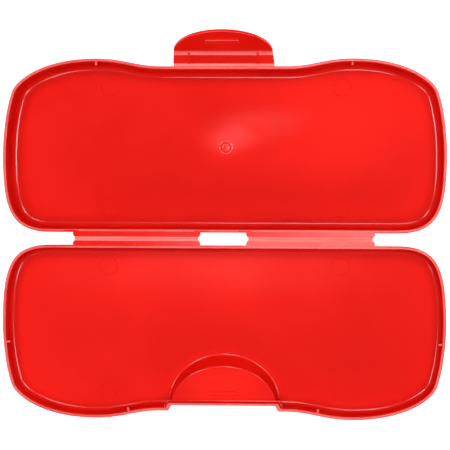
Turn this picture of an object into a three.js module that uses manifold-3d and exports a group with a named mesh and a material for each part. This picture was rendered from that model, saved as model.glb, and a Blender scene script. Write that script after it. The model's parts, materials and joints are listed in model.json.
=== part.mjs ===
// A one-piece moulded pencil case, lying open: a base tray and a shallower lid tray joined by two
// living hinges, with a latch flap that hangs on a thin film at the front of the base.
// Millimetres. X runs along the hinge, Y from the hinge towards the latch, Z up.
// The origin is the middle of the flat underside of the base.

import * as THREE from "three";
import { mergeVertices } from "three/addons/utils/BufferGeometryUtils.js";
import Module from "manifold-3d";

const wasm = await Module();
wasm.setup();

const DEGREE = Math.PI / 180;

// ---------------------------------------------------------------- driving dimensions

// The plan of each tray, seen from above, with the hinge axis along y = 0.
const CASE_LENGTH = 200;
const TRAY_REACH = 81.2; // from the hinge axis to the humps of the front edge
const BACK_EDGE = 2.9; // from the hinge axis to the straight back edge
const FRONT_DIP = 3.5; // how far the middle of the front edge lies behind the humps
const DIP_HALF_WIDTH = 28; // half of the straight stretch in the middle of the front edge
const HUMP_FROM_END = 42; // where the front edge is furthest out, from each end of the case
const WIDEST_AT = 38.4; // where the ends bulge out most, from the hinge axis
const CORNER_FROM_END = 21.65; // where the straight back edge begins to round, from each end
const SHOULDER_FROM_END = 3.95; // the front corner's most even stretch, from each end of the case
const SHOULDER_FROM_FRONT = 15; // and from the humps of the front edge
const SHOULDER_LEAN = 19 * DEGREE; // how far the outline leans inwards there

// How far the handles of the outline's curves reach along their tangents.
const BACK_CORNER_HANDLE = 17.7;
const END_HANDLE_BACK = 26.1;
const END_HANDLE_FRONT = 5.4;
const SHOULDER_HANDLE_BACK = 9.8;
const SHOULDER_HANDLE_FRONT = 6;
const HUMP_HANDLE_OUT = 23.5;
const HUMP_HANDLE_IN = 13;
const DIP_HANDLE = 12;

// The walls.
const BASE_HEIGHT = 15;
const LID_HEIGHT = 11.5;
const WALL = 1.4;
const FLOOR = 1.5;
const DRAFT = 3 * DEGREE;
const RIM_BAND = 1.6; // the upright strip of the outer wall under the rim
const BASE_FLOOR_FILLET = 2;
const LID_FLOOR_FILLET = 1.3;

// Clearances.
const SEAT_GAP = 0.3; // between two pieces that meet in a turned group
const RIM_GAP = 0.3; // between the two rims of the closed case
const LATCH_CLEARANCE = 0.35; // under the tongue when the latch is shut
const LATCH_SIDE_CLEARANCE = 0.8; // beside the latch in the notch of the lid

// The two living hinges.
const HINGE_INNER_END = 10.35; // from the middle of the case to the near end of each hinge
const HINGE_LENGTH = 57.6;
const HINGE_FILM_WIDTH = 0.8;
const LEAF_THICKNESS = 1.2;
const LEAF_CORNER = 1.4;

// The latch: a film at the base, a stiff bridge, a second film and a tongue.
const FILM = 0.4;
const ROOT_FILM_WIDTH = 1.5;
const KNEE_FILM_WIDTH = 1.5;
const LATCH_SKIN = 1.4;
const ROOT_BELOW_RIM = 1.15;
const BRIDGE_REACH = 8.3; // from the root axis to the knee axis
const ROOT_WIDTH = 45.7;
const KNEE_WIDTH = 44.6;
const TONGUE_REACH = 15.8; // from the knee axis to the tip
const BRIDGE_REST_ANGLE = 44 * DEGREE; // above the horizontal
const TONGUE_REST_FOLD = 14.5 * DEGREE; // between the bridge and the tongue
const BRIDGE_RIB_SPACING = 30.8;
const BRIDGE_RIB_HEIGHT = 1.1;
const BRIDGE_RIB_ROOT_WIDTH = 2.3;
const BRIDGE_RIB_KNEE_WIDTH = 1.5;
const TONGUE_SIDE_HANDLE = 8; // how long the tongue's curve runs on along its sides
const TONGUE_SIDE_LEAN = 0.4; // and how far it leans inwards over that length
const TONGUE_TIP_HANDLE = 12.3; // how far its curve runs along the tip, each way from the middle
const CATCH_LENGTH = 15;
const CATCH_REACH = 9.4; // from the knee axis to the crest of the catch bar
const CATCH_CREST = 0.4; // how wide the crest is
const CATCH_BACK = 0.5; // from the crest to the steep side, towards the tip
const CATCH_RAMP = 2.4; // from the crest to the foot of the ramp, towards the knee
const CATCH_HEIGHT = 0.7;

// The half-moon finger recess and the notch in the front of the lid.
const NOTCH_SETBACK = 2.5;
const NOTCH_SLANT = 1.4; // how much wider the notch is at its mouth, on each side
const RECESS_REACH = 17; // from the notch to the far side of the recess floor
const RECESS_END_SLOPE = 4.6; // how far the far wall of the recess leans outwards
const RECESS_SIDE_SLOPE = 1.3; // how far its two ends lean outwards
const RECESS_SKIN = 1.3;
const CATCH_GROOVE_DEPTH = 1.1;
const CATCH_GROOVE_SKIN = 1;

// The small ribs inside the walls that line the two rims up as the case shuts.
const RIB_WIDTH = 1.6;
const RIB_DEPTH = 1.6;
const RIB_PROUD = 1;
const RIB_WALL_GAP = 0.35;
const BASE_RIB_SPACING = 115.4;
const LID_FRONT_RIB_SPACING = 84.6;
const LID_SIDE_RIB_AT = 47; // from the hinge axis

// How finely the round stretches are divided.
const CURVE_STEPS = 12;
const FILLET_STEPS = 4;
const FILM_STEPS = 4;

// ---------------------------------------------------------------- places worked out from them

const HALF_LENGTH = CASE_LENGTH / 2;
const DIP_EDGE = TRAY_REACH - FRONT_DIP;
const HINGE_ABOVE_RIM = RIM_GAP / 2;
const HALF_FILM = FILM / 2;
const LATCH_INNER_FACE = LATCH_SKIN - HALF_FILM; // above the film axis, on the bridge and the tongue
const ROOT_AXIS_Y = DIP_EDGE + ROOT_FILM_WIDTH / 2;
const NOTCH_FACE = DIP_EDGE - NOTCH_SETBACK;
const NOTCH_HALF_WIDTH = ROOT_WIDTH / 2 + LATCH_SIDE_CLEARANCE;
const TONGUE_ABOVE_RIM = BRIDGE_REACH - ROOT_BELOW_RIM - LATCH_INNER_FACE; // underside, latch shut
const RECESS_BELOW_RIM = TONGUE_ABOVE_RIM - LATCH_CLEARANCE - RIM_GAP; // in the lid's own frame
const CATCH_GROOVE_AT = ROOT_AXIS_Y - CATCH_REACH;
const BASE_MIDDLE_Y = (BACK_EDGE + TRAY_REACH) / 2;
const BEYOND = 5; // how far a cutting solid runs past what it cuts

// ---------------------------------------------------------------- solids

// A manifold solid from a closed three.js geometry.
function solidOf(geometry) {
  const bare = new THREE.BufferGeometry();
  bare.setAttribute("position", geometry.getAttribute("position"));
  bare.setIndex(geometry.getIndex());
  const merged = mergeVertices(bare, 1e-4);
  return new wasm.Manifold(
    new wasm.Mesh({
      numProp: 3,
      vertProperties: new Float32Array(merged.getAttribute("position").array),
      triVerts: new Uint32Array(merged.getIndex().array),
    }),
  );
}

// The three.js geometry of a manifold solid.
function geometryOf(solid) {
  const mesh = solid.getMesh();
  const geometry = new THREE.BufferGeometry();
  geometry.setAttribute("position", new THREE.BufferAttribute(mesh.vertProperties, 3));
  geometry.setIndex(new THREE.BufferAttribute(mesh.triVerts, 1));
  geometry.computeVertexNormals();
  return geometry;
}

// A box between two corners.
function block(low, high) {
  const size = high.clone().sub(low);
  const geometry = new THREE.BoxGeometry(size.x, size.y, size.z);
  geometry.translate(low.x + size.x / 2, low.y + size.y / 2, low.z + size.z / 2);
  return solidOf(geometry);
}

// A plan outline drawn in X and Y, raised from one height to another.
function prism(outline, from, to) {
  const geometry = new THREE.ExtrudeGeometry(outline, {
    depth: to - from,
    bevelEnabled: false,
    curveSegments: CURVE_STEPS,
  });
  geometry.translate(0, 0, from);
  return solidOf(geometry);
}

// A section drawn in Y and Z, run along X across a width that is centred on x = middle.
function bar(section, width, middle = 0) {
  const geometry = new THREE.ExtrudeGeometry(new THREE.Shape(section), {
    depth: width,
    bevelEnabled: false,
  });
  geometry.rotateX(Math.PI / 2);
  geometry.rotateZ(Math.PI / 2);
  geometry.translate(middle - width / 2, 0, 0);
  return solidOf(geometry);
}

// A closed solid through stacked rings of points, lowest first, all with the same number of points
// that run anticlockwise seen from above.
function loft(rings) {
  const count = rings[0].points.length;
  const position = rings.flatMap((ring) => ring.points.flatMap((p) => [p.x, p.y, ring.z]));
  const index = [];
  for (let level = 0; level < rings.length - 1; level += 1) {
    for (let i = 0; i < count; i += 1) {
      const a = level * count + i;
      const b = level * count + ((i + 1) % count);
      index.push(a, b, b + count, a, b + count, a + count);
    }
  }
  const top = (rings.length - 1) * count;
  for (const [a, b, c] of THREE.ShapeUtils.triangulateShape(rings[0].points, [])) {
    index.push(c, b, a);
  }
  for (const [a, b, c] of THREE.ShapeUtils.triangulateShape(rings.at(-1).points, [])) {
    index.push(top + a, top + b, top + c);
  }
  const geometry = new THREE.BufferGeometry();
  geometry.setAttribute("position", new THREE.Float32BufferAttribute(position, 3));
  geometry.setIndex(index);
  return solidOf(geometry);
}

// ---------------------------------------------------------------- the plan of a tray

// The right half of the rim's outer edge, from the middle of the back to the middle of the front.
function halfOutline() {
  const path = new THREE.Path();
  const cornerStart = HALF_LENGTH - CORNER_FROM_END;
  const shoulder = new THREE.Vector2(
    HALF_LENGTH - SHOULDER_FROM_END,
    TRAY_REACH - SHOULDER_FROM_FRONT,
  );
  const along = new THREE.Vector2(-Math.sin(SHOULDER_LEAN), Math.cos(SHOULDER_LEAN));
  const before = shoulder.clone().addScaledVector(along, -SHOULDER_HANDLE_BACK);
  const after = shoulder.clone().addScaledVector(along, SHOULDER_HANDLE_FRONT);
  const hump = HALF_LENGTH - HUMP_FROM_END;
  path.moveTo(0, BACK_EDGE);
  path.lineTo(cornerStart, BACK_EDGE);
  path.bezierCurveTo(
    cornerStart + BACK_CORNER_HANDLE,
    BACK_EDGE,
    HALF_LENGTH,
    WIDEST_AT - END_HANDLE_BACK,
    HALF_LENGTH,
    WIDEST_AT,
  );
  path.bezierCurveTo(
    HALF_LENGTH,
    WIDEST_AT + END_HANDLE_FRONT,
    before.x,
    before.y,
    shoulder.x,
    shoulder.y,
  );
  path.bezierCurveTo(after.x, after.y, hump + HUMP_HANDLE_OUT, TRAY_REACH, hump, TRAY_REACH);
  path.bezierCurveTo(
    hump - HUMP_HANDLE_IN,
    TRAY_REACH,
    DIP_HALF_WIDTH + DIP_HANDLE,
    DIP_EDGE,
    DIP_HALF_WIDTH,
    DIP_EDGE,
  );
  path.lineTo(0, DIP_EDGE);
  return path.getPoints(CURVE_STEPS);
}

// The whole rim edge, anticlockwise from above.
const RIM_EDGE = (() => {
  const right = halfOutline();
  const left = right
    .slice(1, -1)
    .reverse()
    .map((p) => new THREE.Vector2(-p.x, p.y));
  return [...right, ...left];
})();

// The rim edge moved inwards by a distance, with as many points.
function insetEdge(distance) {
  return RIM_EDGE.map((point, i) => {
    const previous = RIM_EDGE[(i + RIM_EDGE.length - 1) % RIM_EDGE.length];
    const next = RIM_EDGE[(i + 1) % RIM_EDGE.length];
    const into = point.clone().sub(previous).normalize();
    const out = next.clone().sub(point).normalize();
    const normalA = new THREE.Vector2(-into.y, into.x);
    const normalB = new THREE.Vector2(-out.y, out.x);
    const mitre = normalA.clone().add(normalB).divideScalar(1 + normalA.dot(normalB));
    return point.clone().addScaledVector(mitre, distance);
  });
}

// The solid inside a drafted, filleted tray wall. The rim is at z = 0 and the bottom at -depth. Skin
// is how far the wall's top lies inside the rim edge, and band is its upright strip under the rim.
function trayBody({ depth, skin, fillet, band, above }) {
  const lean = (depth - fillet - band) * Math.tan(DRAFT);
  const rings = [];
  for (let step = 0; step <= FILLET_STEPS; step += 1) {
    const turn = (step / FILLET_STEPS) * 90 * DEGREE;
    rings.push({
      z: -depth + fillet * (1 - Math.cos(turn)),
      points: insetEdge(skin + lean + fillet * (1 - Math.sin(turn))),
    });
  }
  if (band > 0) {
    rings.push({ z: -band, points: insetEdge(skin) });
  }
  rings.push({ z: 0, points: insetEdge(skin) });
  if (above > 0) {
    rings.push({ z: above, points: insetEdge(skin) });
  }
  return loft(rings);
}

// The outside of a tray.
function trayOutside(height, floorFillet) {
  return trayBody({
    depth: height,
    skin: 0,
    fillet: floorFillet + WALL,
    band: RIM_BAND,
    above: 0,
  });
}

// The room inside a tray, held off its walls and floor by a margin.
function trayRoom(height, floorFillet, margin, above) {
  return trayBody({
    depth: height - FLOOR - margin,
    skin: WALL + margin,
    fillet: floorFillet,
    band: 0,
    above,
  });
}

// ---------------------------------------------------------------- base and lid

function baseTray() {
  const outside = trayOutside(BASE_HEIGHT, BASE_FLOOR_FILLET);
  return outside.subtract(trayRoom(BASE_HEIGHT, BASE_FLOOR_FILLET, 0, BEYOND));
}

// The notch in the front of the lid that the bridge of the latch folds into, grown by a skin.
function notch(skin) {
  const half = NOTCH_HALF_WIDTH + skin;
  const face = NOTCH_FACE - skin;
  const mouth = DIP_EDGE + BEYOND;
  const spread = (NOTCH_SLANT / NOTCH_SETBACK) * (mouth - face);
  const plan = new THREE.Shape([
    new THREE.Vector2(-half, face),
    new THREE.Vector2(half, face),
    new THREE.Vector2(half + spread, mouth),
    new THREE.Vector2(-half - spread, mouth),
  ]);
  return prism(plan, -LID_HEIGHT - BEYOND, BEYOND);
}

// Half an ellipse behind the notch face, joined to a straight stretch that runs out of the front.
function halfMoon(halfWidth, reach) {
  const points = [];
  const steps = 2 * CURVE_STEPS;
  for (let step = 0; step <= steps; step += 1) {
    const turn = -Math.PI + (step / steps) * Math.PI;
    points.push(
      new THREE.Vector2(halfWidth * Math.cos(turn), NOTCH_FACE + reach * Math.sin(turn)),
    );
  }
  points.push(new THREE.Vector2(halfWidth, DIP_EDGE + BEYOND));
  points.push(new THREE.Vector2(-halfWidth, DIP_EDGE + BEYOND));
  return points;
}

// The half-moon recess under the tongue, grown by a skin on all its sides.
function fingerRecess(skin) {
  const halfWidth = KNEE_WIDTH / 2 + LATCH_CLEARANCE + skin;
  const reach = RECESS_REACH + skin;
  const top = -RECESS_BELOW_RIM + skin;
  const bottom = -LID_HEIGHT - BEYOND;
  const grow = (top - bottom) / (LID_HEIGHT - RECESS_BELOW_RIM);
  return loft([
    {
      z: bottom,
      points: halfMoon(halfWidth + RECESS_SIDE_SLOPE * grow, reach + RECESS_END_SLOPE * grow),
    },
    { z: top, points: halfMoon(halfWidth, reach) },
  ]);
}

// The groove in the recess floor that the catch bar drops into, grown by a skin.
function catchGroove(skin) {
  const halfLength = CATCH_LENGTH / 2 + LATCH_CLEARANCE + skin;
  const nearHinge = CATCH_GROOVE_AT - CATCH_BACK - LATCH_CLEARANCE - skin;
  const nearNotch = CATCH_GROOVE_AT + CATCH_RAMP + LATCH_CLEARANCE + skin;
  return block(
    new THREE.Vector3(-halfLength, nearHinge, -RECESS_BELOW_RIM - BEYOND),
    new THREE.Vector3(halfLength, nearNotch, -RECESS_BELOW_RIM + CATCH_GROOVE_DEPTH + skin),
  );
}

function lidTray() {
  const outside = trayOutside(LID_HEIGHT, LID_FLOOR_FILLET)
    .subtract(notch(0))
    .subtract(fingerRecess(0))
    .subtract(catchGroove(0));
  const room = trayRoom(LID_HEIGHT, LID_FLOOR_FILLET, 0, BEYOND)
    .subtract(notch(WALL))
    .subtract(fingerRecess(RECESS_SKIN))
    .subtract(catchGroove(CATCH_GROOVE_SKIN));
  return outside.subtract(room);
}

// A rib on the inside of a tray's wall, where a box crosses the layer next to the wall.
function locatingRib(height, floorFillet, low, high) {
  const layer = trayRoom(height, floorFillet, RIB_WALL_GAP, RIB_PROUD);
  const inner = new THREE.Shape(insetEdge(WALL + RIB_WALL_GAP + RIB_DEPTH));
  return layer
    .subtract(prism(inner, -height - BEYOND, RIB_PROUD + BEYOND))
    .intersect(block(low, high));
}

function frontRib(height, floorFillet, x) {
  return locatingRib(
    height,
    floorFillet,
    new THREE.Vector3(x - RIB_WIDTH / 2, WIDEST_AT, -height),
    new THREE.Vector3(x + RIB_WIDTH / 2, TRAY_REACH, RIB_PROUD),
  );
}

function sideRib(height, floorFillet, side) {
  const near = side * (HALF_LENGTH - HUMP_FROM_END);
  const far = side * HALF_LENGTH;
  return locatingRib(
    height,
    floorFillet,
    new THREE.Vector3(Math.min(near, far), LID_SIDE_RIB_AT - RIB_WIDTH / 2, -height),
    new THREE.Vector3(Math.max(near, far), LID_SIDE_RIB_AT + RIB_WIDTH / 2, RIB_PROUD),
  );
}

// ---------------------------------------------------------------- living hinges

// One leaf: a strip along the rim whose two corners at the film are rounded.
function hingeLeaf(side, seatGap) {
  const inner = HINGE_INNER_END;
  const outer = HINGE_INNER_END + HINGE_LENGTH;
  const film = HINGE_FILM_WIDTH / 2 + SEAT_GAP;
  const seat = BACK_EDGE - seatGap;
  const plan = new THREE.Shape();
  plan.moveTo(side * inner, seat);
  plan.lineTo(side * inner, film + LEAF_CORNER);
  plan.quadraticCurveTo(side * inner, film, side * (inner + LEAF_CORNER), film);
  plan.lineTo(side * (outer - LEAF_CORNER), film);
  plan.quadraticCurveTo(side * outer, film, side * outer, film + LEAF_CORNER);
  plan.lineTo(side * outer, seat);
  return prism(plan, -LEAF_THICKNESS, 0);
}

// The film between the two leaves. It bends as the lid turns.
function hingeWeb(side) {
  const inner = side * (HINGE_INNER_END + LEAF_CORNER);
  const outer = side * (HINGE_INNER_END + HINGE_LENGTH - LEAF_CORNER);
  return block(
    new THREE.Vector3(Math.min(inner, outer), -HINGE_FILM_WIDTH / 2, HINGE_ABOVE_RIM - FILM),
    new THREE.Vector3(Math.max(inner, outer), HINGE_FILM_WIDTH / 2, HINGE_ABOVE_RIM),
  );
}

// ---------------------------------------------------------------- latch

// A film bent evenly through an angle, from y = 0, with its middle line leaving along +Y.
function bentFilm(length, angle, width) {
  const radius = length / angle;
  const under = [];
  const over = [];
  for (let step = 0; step <= FILM_STEPS; step += 1) {
    const turn = (step / FILM_STEPS) * angle;
    const middle = new THREE.Vector2(radius * Math.sin(turn), radius * (1 - Math.cos(turn)));
    const across = new THREE.Vector2(-Math.sin(turn), Math.cos(turn));
    under.push(middle.clone().addScaledVector(across, -HALF_FILM));
    over.push(middle.clone().addScaledVector(across, HALF_FILM));
  }
  return bar([...under, ...over.reverse()], width);
}

// The plan of the latch at a distance from its root axis: half of its width there.
function latchHalfWidth(reach) {
  return THREE.MathUtils.lerp(ROOT_WIDTH, KNEE_WIDTH, reach / BRIDGE_REACH) / 2;
}

// The stiff bridge: y runs from the root axis, z from the film up to the inner face. Both ends are
// bevelled on the inner face, so the latch can fold inwards there.
function latchBridge() {
  const start = ROOT_FILM_WIDTH / 2 + SEAT_GAP;
  const end = BRIDGE_REACH - KNEE_FILM_WIDTH / 2 - SEAT_GAP;
  const bevel = LATCH_INNER_FACE - HALF_FILM;
  const section = [
    new THREE.Vector2(start, -HALF_FILM),
    new THREE.Vector2(end, -HALF_FILM),
    new THREE.Vector2(end, HALF_FILM),
    new THREE.Vector2(end - bevel, LATCH_INNER_FACE),
    new THREE.Vector2(start + bevel, LATCH_INNER_FACE),
    new THREE.Vector2(start, HALF_FILM),
  ];
  const plan = new THREE.Shape([
    new THREE.Vector2(-latchHalfWidth(start), start),
    new THREE.Vector2(latchHalfWidth(start), start),
    new THREE.Vector2(latchHalfWidth(end), end),
    new THREE.Vector2(-latchHalfWidth(end), end),
  ]);
  return bar(section, ROOT_WIDTH + BEYOND).intersect(prism(plan, -BEYOND, BEYOND));
}

// One tapered rib on the inner face of the bridge, wider towards the root.
function bridgeRib(side) {
  const start = ROOT_FILM_WIDTH / 2 + SEAT_GAP + LATCH_SKIN;
  const end = BRIDGE_REACH - LATCH_INNER_FACE - SEAT_GAP;
  const foot = LATCH_INNER_FACE + SEAT_GAP;
  const crest = foot + BRIDGE_RIB_HEIGHT;
  const x = (side * BRIDGE_RIB_SPACING) / 2;
  const section = [
    new THREE.Vector2(start, foot),
    new THREE.Vector2(end, foot),
    new THREE.Vector2(end - BRIDGE_RIB_HEIGHT / 2, crest),
    new THREE.Vector2(start + BRIDGE_RIB_HEIGHT, crest),
  ];
  const plan = new THREE.Shape([
    new THREE.Vector2(x - BRIDGE_RIB_ROOT_WIDTH / 2, start),
    new THREE.Vector2(x + BRIDGE_RIB_ROOT_WIDTH / 2, start),
    new THREE.Vector2(x + BRIDGE_RIB_KNEE_WIDTH / 2, end),
    new THREE.Vector2(x - BRIDGE_RIB_KNEE_WIDTH / 2, end),
  ]);
  return bar(section, BRIDGE_RIB_ROOT_WIDTH + BEYOND, x).intersect(prism(plan, 0, BEYOND));
}

// The tongue: y runs from the knee axis to the rounded tip, z up to the inner face.
function latchTongue() {
  const start = KNEE_FILM_WIDTH / 2 + SEAT_GAP;
  const bevel = LATCH_INNER_FACE - HALF_FILM;
  const half = KNEE_WIDTH / 2;
  const plan = new THREE.Shape();
  plan.moveTo(-half, start);
  plan.lineTo(half, start);
  const sideX = half - TONGUE_SIDE_LEAN;
  const sideY = start + TONGUE_SIDE_HANDLE;
  plan.bezierCurveTo(sideX, sideY, TONGUE_TIP_HANDLE, TONGUE_REACH, 0, TONGUE_REACH);
  plan.bezierCurveTo(-TONGUE_TIP_HANDLE, TONGUE_REACH, -sideX, sideY, -half, start);
  const section = [
    new THREE.Vector2(start, -HALF_FILM),
    new THREE.Vector2(TONGUE_REACH, -HALF_FILM),
    new THREE.Vector2(TONGUE_REACH, LATCH_INNER_FACE),
    new THREE.Vector2(start + bevel, LATCH_INNER_FACE),
    new THREE.Vector2(start, HALF_FILM),
  ];
  return bar(section, KNEE_WIDTH + BEYOND).intersect(prism(plan, -BEYOND, BEYOND));
}

// The wedge on the tongue that drops into the groove of the lid: a ramp towards the knee and a steep
// side towards the tip.
function catchBar() {
  const foot = LATCH_INNER_FACE + SEAT_GAP;
  const crest = foot + CATCH_HEIGHT;
  const section = [
    new THREE.Vector2(CATCH_REACH - CATCH_RAMP, foot),
    new THREE.Vector2(CATCH_REACH + CATCH_BACK, foot),
    new THREE.Vector2(CATCH_REACH + CATCH_CREST / 2, crest),
    new THREE.Vector2(CATCH_REACH - CATCH_CREST / 2, crest),
  ];
  return bar(section, CATCH_LENGTH);
}

// ---------------------------------------------------------------- assembly

// How far the open lid tips down until the far edge of its flat underside meets the table.
function lidRestTilt() {
  const lean = (LID_HEIGHT - LID_FLOOR_FILLET - WALL - RIM_BAND) * Math.tan(DRAFT);
  const flatEdge = TRAY_REACH - lean - LID_FLOOR_FILLET - WALL;
  const below = LID_HEIGHT + HINGE_ABOVE_RIM;
  const drop = BASE_HEIGHT + HINGE_ABOVE_RIM;
  return Math.atan2(flatEdge, below) - Math.acos(drop / Math.hypot(flatEdge, below));
}

const MOULDED_RED = { color: 0xe21a10, roughness: 0.42, metalness: 0 };
const SATIN_RED = { color: 0xe8281c, roughness: 0.3, metalness: 0 };
const FILM_RED = { color: 0xf8756a, roughness: 0.28, metalness: 0 };

// Names a solid, gives it its own material and adds it to a group.
function add(group, name, solid, finish) {
  const mesh = new THREE.Mesh(geometryOf(solid), new THREE.MeshStandardMaterial(finish));
  mesh.name = name;
  group.add(mesh);
  return mesh;
}

const SIDES = [
  ["left", -1],
  ["right", 1],
];

// The base lies flat, in a group whose z = 0 is its rim and whose y = 0 is the hinge axis.
function buildBase() {
  const base = new THREE.Group();
  add(base, "base_tray", baseTray(), MOULDED_RED);
  for (const [word, side] of SIDES) {
    const x = (side * BASE_RIB_SPACING) / 2;
    add(base, `base_hinge_leaf_${word}`, hingeLeaf(side, 0), SATIN_RED);
    add(base, `hinge_web_${word}`, hingeWeb(side), FILM_RED);
    add(base, `base_locating_rib_${word}`, frontRib(BASE_HEIGHT, BASE_FLOOR_FILLET, x), SATIN_RED);
  }
  const rootWeb = bentFilm(ROOT_FILM_WIDTH, BRIDGE_REST_ANGLE, ROOT_WIDTH);
  add(base, "latch_root_web", rootWeb, FILM_RED).position.set(0, DIP_EDGE, -ROOT_BELOW_RIM);
  return base;
}

// The lid is drawn like the base, rim up and reaching along +Y, then turned round to face it. Left
// and right change places in that turn.
function buildLid() {
  const lid = new THREE.Group();
  lid.rotation.z = Math.PI;
  lid.position.z = -HINGE_ABOVE_RIM;
  add(lid, "lid_tray", lidTray(), MOULDED_RED);
  for (const [word, side] of SIDES) {
    const x = (-side * LID_FRONT_RIB_SPACING) / 2;
    const frontLidRib = frontRib(LID_HEIGHT, LID_FLOOR_FILLET, x);
    const sideLidRib = sideRib(LID_HEIGHT, LID_FLOOR_FILLET, -side);
    add(lid, `lid_hinge_leaf_${word}`, hingeLeaf(-side, SEAT_GAP), SATIN_RED);
    add(lid, `lid_locating_rib_front_${word}`, frontLidRib, SATIN_RED);
    add(lid, `lid_locating_rib_side_${word}`, sideLidRib, SATIN_RED);
  }
  return lid;
}

// The latch, drawn flat and then raised: the bridge turns on the root axis and the tongue on the knee.
function buildLatch() {
  const bridge = new THREE.Group();
  bridge.rotation.x = BRIDGE_REST_ANGLE;
  add(bridge, "latch_bridge", latchBridge(), MOULDED_RED);
  for (const [word, side] of SIDES) {
    add(bridge, `latch_bridge_rib_${word}`, bridgeRib(side), MOULDED_RED);
  }
  const kneeWeb = bentFilm(KNEE_FILM_WIDTH, TONGUE_REST_FOLD, KNEE_WIDTH);
  const kneeStart = BRIDGE_REACH - KNEE_FILM_WIDTH / 2;
  add(bridge, "latch_knee_web", kneeWeb, FILM_RED).position.y = kneeStart;
  const tongue = new THREE.Group();
  tongue.position.y = BRIDGE_REACH;
  tongue.rotation.x = TONGUE_REST_FOLD;
  add(tongue, "latch_tongue", latchTongue(), MOULDED_RED);
  add(tongue, "latch_catch_bar", catchBar(), SATIN_RED);
  bridge.add(tongue);
  return bridge;
}

function buildCase() {
  const base = buildBase();
  base.position.set(0, -BASE_MIDDLE_Y, BASE_HEIGHT);

  const latch = buildLatch();
  latch.position.set(0, ROOT_AXIS_Y, -ROOT_BELOW_RIM);
  base.add(latch);

  const lidTurn = new THREE.Group();
  lidTurn.position.set(0, 0, HINGE_ABOVE_RIM);
  lidTurn.rotation.x = lidRestTilt();
  lidTurn.add(buildLid());
  base.add(lidTurn);

  const pencilCase = new THREE.Group();
  pencilCase.add(base);
  return pencilCase;
}

export default buildCase();
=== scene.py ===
# %% [markdown]
# An open pencil case, moulded in one shot of red polypropylene: a base tray, a shallower lid tray, two
# living hinges between them and a latch flap at the front of the base. The moving bodies are already
# packed, so this script only makes the fine surface around them. The first step loads that fixed frame.
# The finished case may not be larger than it.
import json
import math

import bmesh
import bpy
from mathutils import Matrix, Vector


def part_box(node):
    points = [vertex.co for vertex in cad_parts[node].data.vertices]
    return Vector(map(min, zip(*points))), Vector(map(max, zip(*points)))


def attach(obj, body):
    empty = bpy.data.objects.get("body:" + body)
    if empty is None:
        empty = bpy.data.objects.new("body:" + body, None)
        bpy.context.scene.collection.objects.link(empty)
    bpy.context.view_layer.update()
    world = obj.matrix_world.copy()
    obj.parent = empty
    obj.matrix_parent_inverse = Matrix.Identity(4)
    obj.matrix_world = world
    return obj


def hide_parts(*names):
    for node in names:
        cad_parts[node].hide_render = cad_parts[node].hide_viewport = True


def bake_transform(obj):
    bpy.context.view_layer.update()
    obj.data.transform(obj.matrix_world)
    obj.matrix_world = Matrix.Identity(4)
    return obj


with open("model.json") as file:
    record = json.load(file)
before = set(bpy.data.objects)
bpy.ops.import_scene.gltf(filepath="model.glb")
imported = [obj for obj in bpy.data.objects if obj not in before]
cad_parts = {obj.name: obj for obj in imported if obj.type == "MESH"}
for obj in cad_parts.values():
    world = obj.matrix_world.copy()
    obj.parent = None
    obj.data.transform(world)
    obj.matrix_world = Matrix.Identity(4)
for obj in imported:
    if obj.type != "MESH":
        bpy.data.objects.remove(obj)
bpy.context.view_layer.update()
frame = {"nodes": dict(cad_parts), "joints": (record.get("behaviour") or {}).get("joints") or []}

print("nodes:", len(frame["nodes"]))

# %% [markdown]
# Every piece is drawn in millimetres in the place where it is easiest to think about, such as a tray
# with its rim at height zero and the hinge axis along y = 0, and is then moved to its place on the
# case and made metres. The places come from the frame: the hinge axes from its joints and the
# heights from the boxes of its nodes.

# %% Read the driving sizes from the frame
MM = 0.001
JOINTS = {joint["name"]: joint for joint in frame["joints"]}


def axis_point(joint_name):
    """Where a joint's axis crosses the middle plane of the case, in millimetres."""
    return Vector(JOINTS[joint_name]["pos_m"]) / MM


def size_in_mm(node):
    low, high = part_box(node)
    return (Vector(high) - Vector(low)) / MM


HINGE_AXIS = axis_point("lid_hinge")
ROOT_AXIS = axis_point("latch_root")
KNEE_AXIS = axis_point("latch_knee")
CASE_LENGTH = size_in_mm("base_tray").x
BASE_HEIGHT = size_in_mm("base_tray").z
LID_TILT = math.radians(JOINTS["lid_hinge"]["range_deg"][1] - 180)
BRIDGE_ANGLE = math.radians(90 - JOINTS["latch_root"]["range_deg"][1])
TONGUE_FOLD = math.radians(90 - JOINTS["latch_knee"]["range_deg"][1])
BRIDGE_REACH = (KNEE_AXIS - ROOT_AXIS).length
HALF_LENGTH = CASE_LENGTH / 2
AXIS_ABOVE_RIM = HINGE_AXIS.z - BASE_HEIGHT
print(f"length {CASE_LENGTH:.1f}, base {BASE_HEIGHT:.1f}, lid tilt {math.degrees(LID_TILT):.2f} degrees")

# %% [markdown]
# Four small coordinate frames carry the pieces to their places: the base with its rim at height
# zero, the lid that is drawn just like the base and then turned round to face it, the bridge of the
# latch that starts on the root axis, and the tongue that starts on the knee axis.

# %% The four places
TO_METRES = Matrix.Scale(MM, 4)
BASE_PLACE = TO_METRES @ Matrix.Translation((0, HINGE_AXIS.y, BASE_HEIGHT))
LID_PLACE = (
    TO_METRES
    @ Matrix.Translation(HINGE_AXIS)
    @ Matrix.Rotation(LID_TILT, 4, "X")
    @ Matrix.Translation((0, 0, -AXIS_ABOVE_RIM))
    @ Matrix.Rotation(math.pi, 4, "Z")
)
BRIDGE_PLACE = TO_METRES @ Matrix.Translation(ROOT_AXIS) @ Matrix.Rotation(BRIDGE_ANGLE, 4, "X")
TONGUE_PLACE = (
    BRIDGE_PLACE
    @ Matrix.Translation((0, BRIDGE_REACH, 0))
    @ Matrix.Rotation(TONGUE_FOLD, 4, "X")
)
print("hinge axis", [round(v, 2) for v in HINGE_AXIS], "root axis", [round(v, 2) for v in ROOT_AXIS])

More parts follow.
